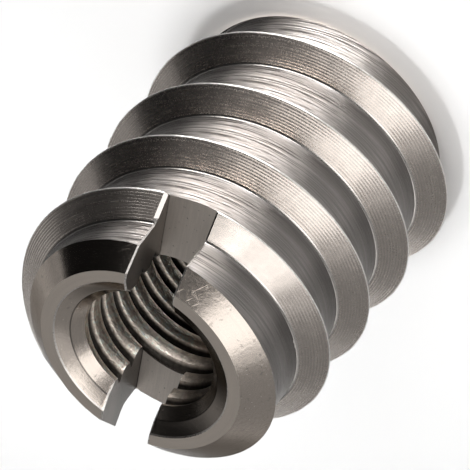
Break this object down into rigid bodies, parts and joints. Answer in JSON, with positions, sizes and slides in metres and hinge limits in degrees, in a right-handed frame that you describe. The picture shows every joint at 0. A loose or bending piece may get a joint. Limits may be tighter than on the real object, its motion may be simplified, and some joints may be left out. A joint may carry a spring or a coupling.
{
  "type": "threaded insert",
  "caption": "Slotted screw-in insert of turned steel, with a coarse wood thread outside, a tapped hole through it and a driver slot across one end.",
  "frame": {"origin": "centre of the flat rear end face, which the insert stands on", "axes": "+Z along the axis from the rear end to the slotted end; the driver slot runs along Y"},
  "size_m": [0.0154, 0.0154, 0.019],
  "materials": {
    "steel": "bright turned stainless steel, with fine turning lines"
  },
  "bodies": {
    "root": {"insert_body": "steel"}
  },
  "joints": []
}
